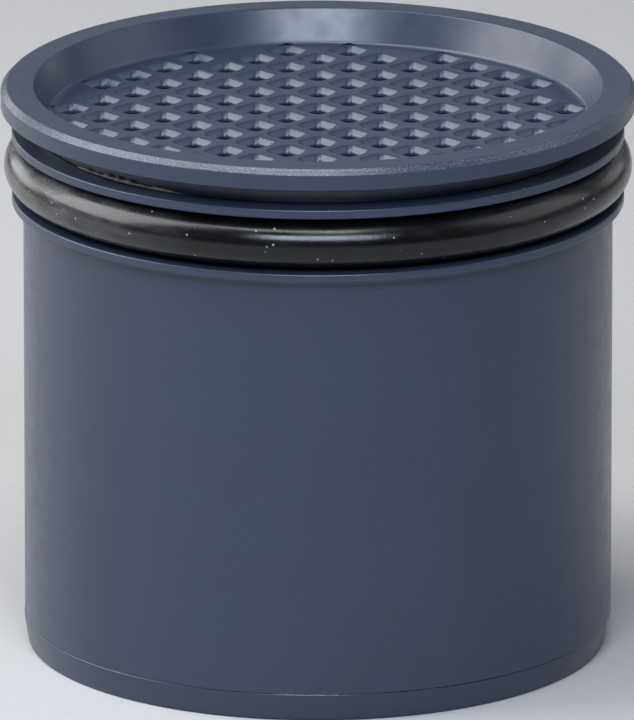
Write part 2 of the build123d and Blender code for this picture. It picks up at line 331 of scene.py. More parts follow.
def circle(across, up, radius, count=48):
    """Points of a round section, from its centre and radius."""
    return [
        Vector((across + radius * cos(2 * pi * i / count), up + radius * sin(2 * pi * i / count)))
        for i in range(count)
    ]


# The rail that a profile is swept around has this radius
RAIL = 10 * MM


def profile_object(*outlines):
    """A mesh of closed or open outlines in millimetres, ready to be turned around the axis.
    An outline that starts on the axis is open, and any other is closed."""
    points, edges = [], []
    for outline in outlines:
        area = sum(
            outline[i - 1].x * outline[i].y - outline[i].x * outline[i - 1].y
            for i in range(len(outline))
        )
        if area < 0:
            outline = outline[::-1]
        start = len(points)
        points += [((p.x * MM) - RAIL, -p.y * MM, 0.0) for p in outline]
        edges += [(start + i, start + i + 1) for i in range(len(outline) - 1)]
        if outline[0].x > 1e-6 or outline[-1].x > 1e-6:
            edges.append((start + len(outline) - 1, start))
    mesh = bpy.data.meshes.new("profile")
    mesh.from_pydata(points, edges, [])
    return link("profile", mesh)


# ---------------------------------------------------------------------------
# Geometry trees
# ---------------------------------------------------------------------------


def turned_tree():
    """Turns a profile around the axis, as a lathe would."""
    tree, given = new_tree("turned piece", ("Segments", "Int"), ("Rail", "Float"), ("Material", "Material"))
    rail = add(
        tree,
        "GeometryNodeCurvePrimitiveCircle",
        links={"Resolution": given.outputs["Segments"], "Radius": given.outputs["Rail"]},
    )
    level = add(tree, "GeometryNodeSetCurveNormal", links={"Curve": rail.outputs["Curve"]}, mode="Z_UP")
    outline = add(tree, "GeometryNodeMeshToCurve", links={"Mesh": given.outputs["Geometry"]})
    swept = add(
        tree,
        "GeometryNodeCurveToMesh",
        links={"Curve": level.outputs[0], "Profile Curve": outline.outputs[0]},
    )
    merged = add(
        tree,
        "GeometryNodeMergeByDistance",
        values={"Distance": 2e-6},
        links={"Geometry": swept.outputs[0]},
    )
    return close_tree(tree, given, merged.outputs[0])


def perforation_tree():
    """Cuts a field of holes on a square lattice, turned about the axis, through a piece."""
    tree, given = new_tree(
        "perforation",
        ("Cutter", "Object"),
        ("Pitch", "Float"),
        ("Rows", "Int"),
        ("Field Radius", "Float"),
        ("Turn", "Float"),
        ("Material", "Material"),
    )
    gaps = maths(tree, "SUBTRACT", given.outputs["Rows"], 1.0)
    span = maths(tree, "MULTIPLY", gaps, given.outputs["Pitch"])
    grid = add(
        tree,
        "GeometryNodeMeshGrid",
        links={
            "Size X": span,
            "Size Y": span,
            "Vertices X": given.outputs["Rows"],
            "Vertices Y": given.outputs["Rows"],
        },
    )
    angles = add(tree, "ShaderNodeCombineXYZ", links={"Z": given.outputs["Turn"]})
    turned = add(
        tree,
        "GeometryNodeTransform",
        links={"Geometry": grid.outputs["Mesh"], "Rotation": angles.outputs[0]},
    )
    where = add(tree, "GeometryNodeInputPosition")
    out = add(tree, "ShaderNodeVectorMath", links={0: where.outputs[0]}, operation="LENGTH")
    outside = add(
        tree,
        "FunctionNodeCompare",
        links={0: out.outputs["Value"], 1: given.outputs["Field Radius"]},
        operation="GREATER_THAN",
        data_type="FLOAT",
    )
    kept = add(
        tree,
        "GeometryNodeDeleteGeometry",
        links={"Geometry": turned.outputs[0], "Selection": outside.outputs[0]},
        domain="POINT",
    )
    cutter = add(tree, "GeometryNodeObjectInfo", links={"Object": given.outputs["Cutter"]})
    cutters = add(
        tree,
        "GeometryNodeInstanceOnPoints",
        links={
            "Points": kept.outputs[0],
            "Instance": cutter.outputs["Geometry"],
            "Rotation": angles.outputs[0],
        },
    )
    solid = add(tree, "GeometryNodeRealizeInstances", links={"Geometry": cutters.outputs[0]})
    cut = add(
        tree,
        "GeometryNodeMeshBoolean",
        links={"Mesh 1": given.outputs["Geometry"], "Mesh 2": solid.outputs[0]},
        operation="DIFFERENCE",
        solver="MANIFOLD",
    )
    return close_tree(tree, given, cut.outputs["Mesh"])


def ring_array_tree(name, operation):
    """Repeats an object around the axis, and joins it to the piece or cuts it out."""
    tree, given = new_tree(name, ("Repeated", "Object"), ("Count", "Int"), ("Material", "Material"))
    around = add(
        tree,
        "GeometryNodeMeshCircle",
        values={"Radius": 0.001},
        links={"Vertices": given.outputs["Count"]},
    )
    number = add(tree, "GeometryNodeInputIndex")
    share = maths(tree, "DIVIDE", number.outputs[0], given.outputs["Count"])
    turn = maths(tree, "MULTIPLY", share, 2 * pi)
    angles = add(tree, "ShaderNodeCombineXYZ", links={"Z": turn})
    centred = add(
        tree,
        "GeometryNodeSetPosition",
        values={"Position": (0, 0, 0)},
        links={"Geometry": around.outputs[0]},
    )
    one = add(tree, "GeometryNodeObjectInfo", links={"Object": given.outputs["Repeated"]})
    many = add(
        tree,
        "GeometryNodeInstanceOnPoints",
        links={
            "Points": centred.outputs[0],
            "Instance": one.outputs["Geometry"],
            "Rotation": angles.outputs[0],
        },
    )
    solid = add(tree, "GeometryNodeRealizeInstances", links={"Geometry": many.outputs[0]})
    if operation == "ONLY":
        return close_tree(tree, given, solid.outputs[0])
    boolean = add(tree, "GeometryNodeMeshBoolean", operation=operation, solver="MANIFOLD")
    if operation == "UNION":
        tree.links.new(solid.outputs[0], boolean.inputs["Mesh 2"])
        tree.links.new(given.outputs["Geometry"], boolean.inputs["Mesh 2"])
    else:
        tree.links.new(given.outputs["Geometry"], boolean.inputs["Mesh 1"])
        tree.links.new(solid.outputs[0], boolean.inputs["Mesh 2"])
    return close_tree(tree, given, boolean.outputs["Mesh"])


def stack_tree():
    """Repeats a ring up the axis at an even step."""
    tree, given = new_tree("stacked rings", ("Count", "Int"), ("Step", "Float"), ("Material", "Material"))
    step = add(tree, "ShaderNodeCombineXYZ", links={"Z": given.outputs["Step"]})
    line = add(
        tree,
        "GeometryNodeMeshLine",
        links={"Count": given.outputs["Count"], "Offset": step.outputs[0]},
    )
    rings = add(
        tree,
        "GeometryNodeInstanceOnPoints",
        links={"Points": line.outputs[0], "Instance": given.outputs["Geometry"]},
    )
    return close_tree(tree, given, rings.outputs[0])


def flecks_tree():
    """Scatters small crumbs of random size and place over a band around the axis."""
    tree, given = new_tree(
        "scattered flecks",
        ("Count", "Int"),
        ("From", "Float"),
        ("To", "Float"),
        ("Inner", "Float"),
        ("Outer", "Float"),
        ("Low", "Float"),
        ("High", "Float"),
        ("Size", "Float"),
        ("Seed", "Int"),
        ("Material", "Material"),
    )

    def chance(low, high, extra):
        """A random number between two inputs, with its own seed."""
        seed = maths(tree, "ADD", given.outputs["Seed"], float(extra))
        made = add(tree, "FunctionNodeRandomValue", data_type="FLOAT")
        for key, part in ((2, low), (3, high)):
            if isinstance(part, float):
                made.inputs[key].default_value = part
            else:
                tree.links.new(part, made.inputs[key])
        tree.links.new(seed, made.inputs["Seed"])
        return made.outputs[1]

    turn = chance(given.outputs["From"], given.outputs["To"], 1)
    reach = chance(given.outputs["Inner"], given.outputs["Outer"], 2)
    sideways = maths(tree, "MULTIPLY", maths(tree, "SINE", turn), reach)
    forwards = maths(tree, "MULTIPLY", maths(tree, "COSINE", turn), reach)
    place_at = add(
        tree,
        "ShaderNodeCombineXYZ",
        links={
            "X": sideways,
            "Y": maths(tree, "MULTIPLY", forwards, -1.0),
            "Z": chance(given.outputs["Low"], given.outputs["High"], 3),
        },
    )
    points = add(
        tree,
        "GeometryNodePoints",
        links={"Count": given.outputs["Count"], "Position": place_at.outputs[0]},
    )
    crumb = add(
        tree, "GeometryNodeMeshIcoSphere", {"Subdivisions": 1}, {"Radius": given.outputs["Size"]}
    )
    tilt = add(
        tree,
        "ShaderNodeCombineXYZ",
        links={"X": chance(0.0, pi, 4), "Y": chance(0.0, pi, 5), "Z": chance(0.0, pi, 6)},
    )
    shape = add(
        tree,
        "ShaderNodeCombineXYZ",
        links={"X": chance(0.3, 1.0, 7), "Y": chance(0.3, 1.0, 8), "Z": chance(0.25, 0.6, 9)},
    )
    crumbs = add(
        tree,
        "GeometryNodeInstanceOnPoints",
        links={
            "Points": points.outputs[0],
            "Instance": crumb.outputs["Mesh"],
            "Rotation": tilt.outputs[0],
            "Scale": shape.outputs[0],
        },
    )
    return close_tree(tree, given, crumbs.outputs[0])


def woven_tree():
    """Weaves upright and level wires into a round mesh, each over one and under the next."""
    tree, given = new_tree(
        "woven wire",
        ("Warps", "Int"),
        ("Wefts", "Int"),
        ("Radius", "Float"),
        ("Bottom", "Float"),
        ("Height", "Float"),
        ("Wire", "Float"),
        ("Material", "Material"),
    )

    warps, wefts = given.outputs["Warps"], given.outputs["Wefts"]
    radius, bottom = given.outputs["Radius"], given.outputs["Bottom"]
    swing = maths(tree, "MULTIPLY", given.outputs["Wire"], 0.5)
    section = add(
        tree,
        "GeometryNodeCurvePrimitiveCircle",
        values={"Resolution": 5},
        links={"Radius": swing},
    )
    rise = maths(tree, "DIVIDE", given.outputs["Height"], maths(tree, "SUBTRACT", wefts, 1))
    number = add(tree, "GeometryNodeInputIndex").outputs[0]
    where = add(tree, "GeometryNodeInputPosition").outputs[0]
    split = add(tree, "ShaderNodeSeparateXYZ", links={0: where})
    flat = add(tree, "ShaderNodeCombineXYZ", links={"X": split.outputs[0], "Y": split.outputs[1]})
    outward = add(tree, "ShaderNodeVectorMath", links={0: flat.outputs[0]}, operation="NORMALIZE")

    def swung(curves, per_wire, sign):
        """Swings each wire in and out, half a wire each way, in step with those it crosses."""
        wire_number = maths(tree, "FLOOR", maths(tree, "DIVIDE", maths(tree, "ADD", number, 0.5), per_wire))
        along = maths(tree, "SUBTRACT", number, maths(tree, "MULTIPLY", wire_number, per_wire))
        quarter_turns = maths(tree, "MULTIPLY", along, pi / 2)
        phase = maths(tree, "ADD", quarter_turns, maths(tree, "MULTIPLY", wire_number, pi))
        reach = maths(tree, "MULTIPLY", maths(tree, "MULTIPLY", maths(tree, "COSINE", phase), swing), sign)
        offset = add(
            tree,
            "ShaderNodeVectorMath",
            links={0: outward.outputs[0], "Scale": reach},
            operation="SCALE",
        )
        moved = add(
            tree, "GeometryNodeSetPosition", links={"Geometry": curves, "Offset": offset.outputs[0]}
        )
        wire = add(
            tree,
            "GeometryNodeCurveToMesh",
            values={"Fill Caps": True},
            links={"Curve": moved.outputs[0], "Profile Curve": section.outputs[0]},
        )
        return wire.outputs[0]

    # Level wires: one ring, with two points to a crossing, repeated up the height
    ring_points = maths(tree, "MULTIPLY", warps, 2)
    ring = add(
        tree,
        "GeometryNodeCurvePrimitiveCircle",
        links={"Resolution": ring_points, "Radius": radius},
    )
    first = add(tree, "ShaderNodeCombineXYZ", links={"Z": bottom})
    up = add(tree, "ShaderNodeCombineXYZ", links={"Z": rise})
    levels = add(
        tree,
        "GeometryNodeMeshLine",
        links={"Count": wefts, "Start Location": first.outputs[0], "Offset": up.outputs[0]},
    )
    rings = add(
        tree,
        "GeometryNodeInstanceOnPoints",
        links={"Points": levels.outputs[0], "Instance": ring.outputs["Curve"]},
    )
    level_wires = add(tree, "GeometryNodeRealizeInstances", links={"Geometry": rings.outputs[0]})
    wefts_made = swung(level_wires.outputs[0], ring_points, 1)

    # Upright wires: one line, with two points to a crossing, repeated around the axis
    line_points = maths(tree, "SUBTRACT", maths(tree, "MULTIPLY", wefts, 2), 1)
    half_rise = maths(tree, "MULTIPLY", rise, 0.5)
    half_step = add(tree, "ShaderNodeCombineXYZ", links={"Z": half_rise})
    line = add(
        tree,
        "GeometryNodeMeshLine",
        links={"Count": line_points, "Start Location": first.outputs[0], "Offset": half_step.outputs[0]},
    )
    upright = add(tree, "GeometryNodeMeshToCurve", links={"Mesh": line.outputs[0]})
    around = add(
        tree, "GeometryNodeMeshCircle", links={"Vertices": warps, "Radius": radius}
    )
    stood = add(
        tree,
        "GeometryNodeInstanceOnPoints",
        links={"Points": around.outputs[0], "Instance": upright.outputs[0]},
    )
    upright_wires = add(tree, "GeometryNodeRealizeInstances", links={"Geometry": stood.outputs[0]})
    warps_made = swung(upright_wires.outputs[0], line_points, -1)

    both = add(tree, "GeometryNodeJoinGeometry", links={0: wefts_made})
    tree.links.new(warps_made, both.inputs[0])
    return close_tree(tree, given, both.outputs[0])


# ---------------------------------------------------------------------------
# Finishes
# ---------------------------------------------------------------------------


def new_finish(name):
    """An empty material with its shader, and the place of a point on the object."""
    material = bpy.data.materials.new(name)
    material.use_nodes = True
    tree = material.node_tree
    shader = tree.nodes["Principled BSDF"]
    spot = add(tree, "ShaderNodeTexCoord").outputs["Object"]
    return material, tree, shader, spot


def opaque(rgb):
    """A colour with full alpha."""
    return (*rgb[:3], 1.0)


def ramp(tree, source, low, high, least=0.0, most=1.0):
    """Maps a value between two bounds to a share."""
    spread = {"From Min": low, "From Max": high, "To Min": least, "To Max": most}
    return add(tree, "ShaderNodeMapRange", spread, {"Value": source}).outputs[0]


def product(tree, first, second):
    """Multiplies two values, or a value and a number."""
    return maths(tree, "MULTIPLY", first, second)


def moulded_plastic(name, base, cloud, dust, roughness=(0.28, 0.36), worn_from=None, worn_above=0.0):
    """Injection-moulded plastic. It gives the eye an even satin sheen with faint clouding from
    the melt and a fine tool grain. Where it stands further out than worn_from and higher than
    worn_above its edge is scuffed: paler, with a coarse sparkle."""
    material, tree, shader, spot = new_finish(name)
    # Clouding about 14 mm across
    clouds = add(tree, "ShaderNodeTexNoise", {"Scale": 1 / 0.014, "Detail": 3.0}, {"Vector": spot})
    toned = add(
        tree,
        "ShaderNodeMix",
        {6: opaque(base), 7: opaque(cloud)},
        {0: clouds.outputs["Fac"]},
        data_type="RGBA",
    )
    # Patches 3 mm across where handling has polished or dulled the surface
    patches = add(tree, "ShaderNodeTexNoise", {"Scale": 1 / 0.003, "Detail": 4.0}, {"Vector": spot})
    sheen = add(
        tree,
        "ShaderNodeMapRange",
        {"From Min": 0.3, "From Max": 0.7, "To Min": roughness[0], "To Max": roughness[1]},
        {"Value": patches.outputs["Fac"]},
    )
    # Tool grain of 0.1 mm, drawn at 0.35 mm because finer grain doesn't show
    grain = add(tree, "ShaderNodeTexNoise", {"Scale": 1 / 0.00035, "Detail": 2.0}, {"Vector": spot})
    relief = grain.outputs["Fac"]
    if worn_from:
        flat = add(tree, "ShaderNodeVectorMath", {1: (1, 1, 0)}, {0: spot}, operation="MULTIPLY")
        out = add(tree, "ShaderNodeVectorMath", links={0: flat.outputs[0]}, operation="LENGTH")
        heights = add(tree, "ShaderNodeSeparateXYZ", links={0: spot})
        worn = product(
            tree,
            ramp(tree, out.outputs["Value"], worn_from, worn_from + 0.0004),
            ramp(tree, heights.outputs[2], worn_above, worn_above + 0.0003),
        )
        # Scuffs 0.25 mm across, in a band of the radius
        scuffs = add(tree, "ShaderNodeTexNoise", {"Scale": 1 / 0.00025, "Detail": 5.0}, {"Vector": spot})
        marks = product(tree, ramp(tree, scuffs.outputs["Fac"], 0.5, 0.68), worn)
        toned = add(
            tree,
            "ShaderNodeMix",
            {7: opaque(dust)},
            {0: product(tree, marks, 0.2), 6: toned.outputs[2]},
            data_type="RGBA",
        )
        relief = maths(tree, "ADD", relief, product(tree, marks, 2.0))
    bump = add(
        tree,
        "ShaderNodeBump",
        {"Strength": 0.09, "Distance": 0.00006},
        {"Height": relief},
    )
    tree.links.new(toned.outputs[2], shader.inputs["Base Color"])
    tree.links.new(sheen.outputs[0], shader.inputs["Roughness"])
    tree.links.new(bump.outputs[0], shader.inputs["Normal"])
    shader.inputs["IOR"].default_value = 1.54
    return material


def greased_rubber(name, base, dust):
    """Extruded black rubber cord, greased for fitting. It gives the eye smeared gloss that comes
    and goes along the cord, with dust and lint stuck in the grease, and a pale film on the flanks that is
    partly dust and partly painted sheen."""
    material, tree, shader, spot = new_finish(name)
    # Smears of grease 6 mm long and 1.5 mm high
    squeezed = add(tree, "ShaderNodeMapping", {"Scale": (1.0, 1.0, 4.0)}, {"Vector": spot})
    smears = add(
        tree,
        "ShaderNodeTexNoise",
        {"Scale": 1 / 0.006, "Detail": 6.0, "Roughness": 0.6},
        {"Vector": squeezed.outputs[0]},
    )
    sheen = add(
        tree,
        "ShaderNodeMapRange",
        {"From Min": 0.35, "From Max": 0.68, "To Min": 0.17, "To Max": 0.3},
        {"Value": smears.outputs["Fac"]},
    )
    # Dust 0.2 mm across, thickest where the grease is
    cells = add(tree, "ShaderNodeTexVoronoi", {"Scale": 1 / 0.0014}, {"Vector": spot})
    near = add(
        tree,
        "ShaderNodeMapRange",
        {"From Min": 0.17, "From Max": 0.08, "To Min": 0.0, "To Max": 1.0},
        {"Value": cells.outputs["Distance"]},
    )
    few = maths(tree, "GREATER_THAN", cells.outputs["Color"], 0.72)
    speck = product(tree, near.outputs[0], few)
    faint = product(tree, speck, 0.5)
    # The front has no film. On the flanks lies a pale film, most on the left where the left softbox lights the
    # cord and less on the right: partly dust and dried grease, partly painted sheen
    sides = add(tree, "ShaderNodeSeparateXYZ", links={0: spot})
    left = ramp(tree, sides.outputs[0], -0.021, -0.05)
    right = ramp(tree, sides.outputs[0], 0.022, 0.05, 0.0, 0.4)
    flank_dust_and_painted_sheen = product(
        tree, ramp(tree, smears.outputs["Fac"], 0.3, 0.7, 0.03, 0.15), maths(tree, "MAXIMUM", left, right)
    )
    # Dust specks together with the flank film, which is partly painted sheen
    dust_and_painted_sheen = maths(tree, "MAXIMUM", faint, flank_dust_and_painted_sheen)
    dusted_and_sheened = add(
        tree,
        "ShaderNodeMix",
        {6: opaque(base), 7: opaque(dust)},
        {0: dust_and_painted_sheen},
        data_type="RGBA",
    )
    # The cord's skin, 0.5 mm grain
    skin = add(tree, "ShaderNodeTexNoise", {"Scale": 1 / 0.0005, "Detail": 3.0}, {"Vector": spot})
    relief = maths(tree, "ADD", skin.outputs["Fac"], speck)
    bump = add(
        tree,
        "ShaderNodeBump",
        {"Strength": 0.22, "Distance": 0.00008},
        {"Height": relief},
    )
    tree.links.new(dusted_and_sheened.outputs[2], shader.inputs["Base Color"])
    tree.links.new(sheen.outputs[0], shader.inputs["Roughness"])
    tree.links.new(bump.outputs[0], shader.inputs["Normal"])
    shader.inputs["IOR"].default_value = 1.45
    return material


def worked_metal(name, base, roughness, lay=(1.0, 1.0, 1.0), lay_scale=0.0005, tarnish=0.12, strength=0.15):
    """Metal with the marks of how it was worked: lay stretches them across the tool's path. It
    gives the eye fine bright lines, a little tarnish and smudges."""
    material, tree, shader, spot = new_finish(name)
    worked = add(tree, "ShaderNodeMapping", {"Scale": lay}, {"Vector": spot})
    lines = add(
        tree,
        "ShaderNodeTexNoise",
        {"Scale": 1 / lay_scale, "Detail": 4.0, "Roughness": 0.6},
        {"Vector": worked.outputs[0]},
    )
    # Smudges 4 mm across
    smudges = add(tree, "ShaderNodeTexNoise", {"Scale": 1 / 0.004, "Detail": 4.0}, {"Vector": spot})
    dull = add(
        tree,
        "ShaderNodeMapRange",
        {"From Min": 0.4, "From Max": 0.75, "To Min": 0.0, "To Max": tarnish},
        {"Value": smudges.outputs["Fac"]},
    )
    darker = tuple(c * 0.45 for c in base)
    toned = add(
        tree,
        "ShaderNodeMix",
        {6: opaque(base), 7: opaque(darker)},
        {0: dull.outputs[0]},
        data_type="RGBA",
    )
    sheen = add(
        tree,
        "ShaderNodeMapRange",
        {"From Min": 0.3, "From Max": 0.7, "To Min": roughness - 0.06, "To Max": roughness + 0.1},
        {"Value": lines.outputs["Fac"]},
    )
    bump = add(
        tree,
        "ShaderNodeBump",
        {"Strength": strength, "Distance": 0.00003},
        {"Height": lines.outputs["Fac"]},
    )
    tree.links.new(toned.outputs[2], shader.inputs["Base Color"])
    tree.links.new(sheen.outputs[0], shader.inputs["Roughness"])
    tree.links.new(bump.outputs[0], shader.inputs["Normal"])
    shader.inputs["Metallic"].default_value = 1.0
    return material


def dry_dust(name, base):
    """Dry dust, plastic chips or lime. It gives the eye small matt pale crumbs."""
    material, tree, shader, spot = new_finish(name)
    mottled = add(tree, "ShaderNodeTexNoise", {"Scale": 1 / 0.0006, "Detail": 3.0}, {"Vector": spot})
    toned = add(
        tree,
        "ShaderNodeMix",
        {6: opaque(base), 7: opaque(tuple(c * 0.55 for c in base))},
        {0: mottled.outputs["Fac"]},
        data_type="RGBA",
    )
    tree.links.new(toned.outputs[2], shader.inputs["Base Color"])
    shader.inputs["Roughness"].default_value = 0.8
    return material


def pale_paper(name):
    """Seamless paper sweep. It gives the eye a plain, matt, nearly white ground."""
    material, tree, shader, spot = new_finish(name)
    fibres = add(tree, "ShaderNodeTexNoise", {"Scale": 1 / 0.002, "Detail": 3.0}, {"Vector": spot})
    toned = add(
        tree,
        "ShaderNodeMix",
        {6: opaque(hex_to_linear("#B2B2B2")), 7: opaque(hex_to_linear("#B6B6B6"))},
        {0: fibres.outputs["Fac"]},
        data_type="RGBA",
    )
    tree.links.new(toned.outputs[2], shader.inputs["Base Color"])
    shader.inputs["Roughness"].default_value = 0.95
    shader.inputs["Specular IOR Level"].default_value = 0.1
    return material


FINISHES = {}
TREES = {}


def turned(name, material, *outlines, segments=180, sharp_above=40.0):
    """A finished piece turned from its outlines in millimetres."""
    source = profile_object(*outlines)
    grow(source, TREES["turned"], Segments=segments, Rail=RAIL, Material=material)
    return settle(name, source, sharp_above)


def blank(material, *outlines, segments=180):
    """A turned piece that still gets holes or arms, without its final shading."""
    source = profile_object(*outlines)
    grow(source, TREES["turned"], Segments=segments, Rail=RAIL, Material=material)
    return settle("blank", source, weighted=False)


def hidden_tool(name, points, faces):
    """A closed mesh that a tree repeats. It is removed once the tree has run."""
    mesh = bpy.data.meshes.new(name)
    mesh.from_pydata(points, [], faces)
    mesh.validate()
    if signed_volume(mesh) < 0:
        mesh.flip_normals()
    return link(name, mesh)


def soft_square(side, corner, height, steps=4):
    """Points of a square with rounded corners, at a height."""
    flat = side / 2 - corner
    points = []
    for number, (x, y) in enumerate(((1, 1), (-1, 1), (-1, -1), (1, -1))):
        for step in range(steps + 1):
            turn = radians(90 * number) + (pi / 2) * step / steps
            across = x * flat * MM + corner * MM * cos(turn)
            ahead = y * flat * MM + corner * MM * sin(turn)
            points.append((across, ahead, height * MM))
    return points


def stacked_loops(loops):
    """Faces of a closed skin over loops that all have as many points, from the lowest up."""
    count = len(loops[0])
    points = [p for loop in loops for p in loop]
    faces = [tuple(range(count))[::-1]]
    for level in range(len(loops) - 1):
        low = level * count
        for i in range(count):
            j = (i + 1) % count
            faces.append((low + i, low + j, low + count + j, low + count + i))
    faces.append(tuple(range((len(loops) - 1) * count, len(loops) * count)))
    return points, faces


def rounded_bar(low, high, edge, steps=2):
    """A box between two corners in millimetres, with its upright edges rounded and its ends eased."""
    (x0, y0, z0), (x1, y1, z1) = low, high
    loops = []
    for inset, height in ((edge * 0.3, z0), (0.0, z0 + edge * 0.3), (0.0, z1 - edge * 0.3), (edge * 0.3, z1)):
        loop = []
        for number, (x, y) in enumerate(((x1, y1), (x0, y1), (x0, y0), (x1, y0))):
            sx = 1 if x == x1 else -1
            sy = 1 if y == y1 else -1
            for step in range(steps + 1):
                turn = radians(90 * number) + (pi / 2) * step / steps
                loop.append(
                    (
                        (x - sx * (edge + inset) + edge * cos(turn)) * MM,
                        (y - sy * (edge + inset) + edge * sin(turn)) * MM,
                        height * MM,
                    )
                )
        loops.append(loop)
    return stacked_loops(loops)


# ---------------------------------------------------------------------------
# Operators: one for each piece or group of like pieces
# ---------------------------------------------------------------------------


class CARTRIDGE_OT_finishes(bpy.types.Operator):
    """Mixes the finishes and builds the geometry trees that the pieces share"""

    bl_idname = "cartridge.finishes"
    bl_label = "Finishes and trees"

    def execute(self, context):
        tones = context.scene.cartridge_colours
        FINISHES["housing"] = moulded_plastic(
            "satin moulded ABS, blue-grey anthracite", tones.housing, tones.housing_cloud, tones.dust
        )
        FINISHES["lid"] = moulded_plastic(
            "satin moulded ABS, scuffed at the rim",
            tones.housing,
            tones.housing_cloud,
            tones.dust,
            worn_from=context.scene.cartridge_housing.rim_radius - 0.0012,
            worn_above=context.scene.cartridge_housing.height - 0.0012,
        )
        FINISHES["dust"] = dry_dust("dry dust and chips", tones.dust)
        FINISHES["deposit"] = dry_dust("dried lime deposit", tones.deposit)
        FINISHES["inner"] = moulded_plastic(
            "moulded glass-filled nylon, black",
            tones.inner,
            tuple(c * 1.3 for c in tones.inner),
            tones.dust,
            roughness=(0.42, 0.55),
        )
        FINISHES["rubber"] = greased_rubber("greased EPDM rubber, black", tones.rubber, tones.dust)
        FINISHES["wire"] = worked_metal("woven stainless wire", tones.steel, 0.3, lay_scale=0.0004)
        FINISHES["tube"] = worked_metal(
            "drawn and brushed stainless tube", tones.steel, 0.26, lay=(6.0, 6.0, 0.3), lay_scale=0.002
        )
        FINISHES["fastener"] = worked_metal("bright stainless fastener", tones.steel, 0.24, lay_scale=0.0008)
        FINISHES["brass"] = worked_metal(
            "turned brass", tones.brass, 0.3, lay=(1.0, 1.0, 8.0), lay_scale=0.002, tarnish=0.3
        )
        FINISHES["pole"] = worked_metal(
            "turned mild steel", tones.pole, 0.34, lay=(1.0, 1.0, 8.0), lay_scale=0.002, tarnish=0.35
        )
        FINISHES["nickel"] = worked_metal("nickel-plated magnet", tones.nickel, 0.2, lay_scale=0.001)
        TREES["turned"] = turned_tree()
        TREES["perforation"] = perforation_tree()
        TREES["arms"] = ring_array_tree("arms around the axis", "UNION")
        TREES["slots"] = ring_array_tree("slots around the axis", "DIFFERENCE")
        TREES["around"] = ring_array_tree("pieces around the axis", "ONLY")
        TREES["stack"] = stack_tree()
        TREES["flecks"] = flecks_tree()
        TREES["woven"] = woven_tree()
        return {"FINISHED"}


class CARTRIDGE_OT_canister(bpy.types.Operator):
    """Turns the canister with its two flanges and the groove of the main seal"""

    bl_idname = "cartridge.canister"
    bl_label = "Canister"

    def execute(self, context):
        size = context.scene.cartridge_housing
        flange, body, seam = (v / MM for v in (size.flange_radius, size.body_radius, size.seam_height))
        outline = rounded(
            [
                (42.0, 88.9, 0.3),
                (flange, 88.9, 0.3),
                (flange, 87.3, 0.3),
                (44.5, 87.3, 0.2),
                (44.5, 77.85, 0.2),
                (flange, 77.85, 0.3),
                (flange, 76.35, 0.3),
                (body, 76.35, 0.9),
                (body, seam, 0.14),
                (46.4, seam, 0.1),
                (46.4, 64.0, 0.5),
                (42.0, 68.4, 0.5),
            ]
        )
        piece = turned("canister_shell", FINISHES["housing"], outline, segments=384)
        place(piece, "canister", "housing_plastic", "canister_body")
        return {"FINISHED"}


class CARTRIDGE_OT_main_seal(bpy.types.Operator):
    """Rolls the thick round cord of the main seal"""

    bl_idname = "cartridge.main_seal"
    bl_label = "Main seal"

    def execute(self, context):
        seal = context.scene.cartridge_seals
        section = seal.main_section / MM / 2
        outline = circle(seal.main_radius / MM - section, seal.main_height / MM, section, 64)
        piece = turned("main_seal", FINISHES["rubber"], outline, segments=384)
        place(piece, "canister", "seal_rubber", "main_seal_ring")
        return {"FINISHED"}


class CARTRIDGE_OT_outlet_cap(bpy.types.Operator):
    """Turns the outlet cap and cuts its square holes and the slots between its lugs"""

    bl_idname = "cartridge.outlet_cap"
    bl_label = "Outlet cap"

    def execute(self, context):
        size = context.scene.cartridge_housing
        holes = context.scene.cartridge_perforation
        seam = size.seam_height / MM
        outline = rounded(
            [
                (0.0, 0.0, 0.0),
                (48.5, 0.0, 0.6),
                (49.2, seam, 0.3),
                (46.35, seam, 0.05),
                (46.35, 9.75, 0.3),
                (44.15, 9.75, 0.3),
                (44.15, 3.0, 0.3),
                (40.5, 3.0, 0.2),
                (40.5, 9.0, 0.4),
                (38.3, 9.0, 0.4),
                (38.3, 6.0, 0.2),
                (35.3, 6.0, 0.3),
                (35.3, 3.0, 0.2),
                (0.0, 3.0, 0.0),
            ]
        )
        cap = blank(FINISHES["housing"], outline, segments=300)
        slot = hidden_tool("slot", *stacked_loops([
            [(x * MM, y * MM, z * MM) for x, y in ((33.0, -11.0), (42.4, -11.0), (42.4, 11.0), (33.0, 11.0))]
            for z in (3.002, 9.4)
        ]))
        grow(cap, TREES["slots"], Repeated=slot, Count=6, Material=FINISHES["housing"])
        half = holes.outlet_side / MM
        cutter = hidden_tool("outlet hole", *stacked_loops([
            soft_square(half + 0.5, 0.45, -0.3, 3),
            soft_square(half + 0.5, 0.45, -0.02, 3),
            soft_square(half, 0.3, 0.22, 3),
            soft_square(half, 0.3, 2.8, 3),
            soft_square(half + 0.4, 0.45, 3.02, 3),
            soft_square(half + 0.4, 0.45, 12.0, 3),
        ]))
        grow(
            cap,
            TREES["perforation"],
            Cutter=cutter,
            Pitch=holes.pitch,
            Rows=12,
            Field_Radius=holes.outlet_field,
            Turn=radians(45),
            Material=FINISHES["housing"],
        )
        piece = settle("outlet_cap", cap)
        for tool in (slot, cutter):
            bpy.data.objects.remove(tool)
        # The cap was glued on a little off centre
        piece.data.transform(Matrix.Translation((-0.25 * MM, 0.0, 0.0)))
        place(piece, "canister", "housing_plastic", "bottom_cap")
        return {"FINISHED"}


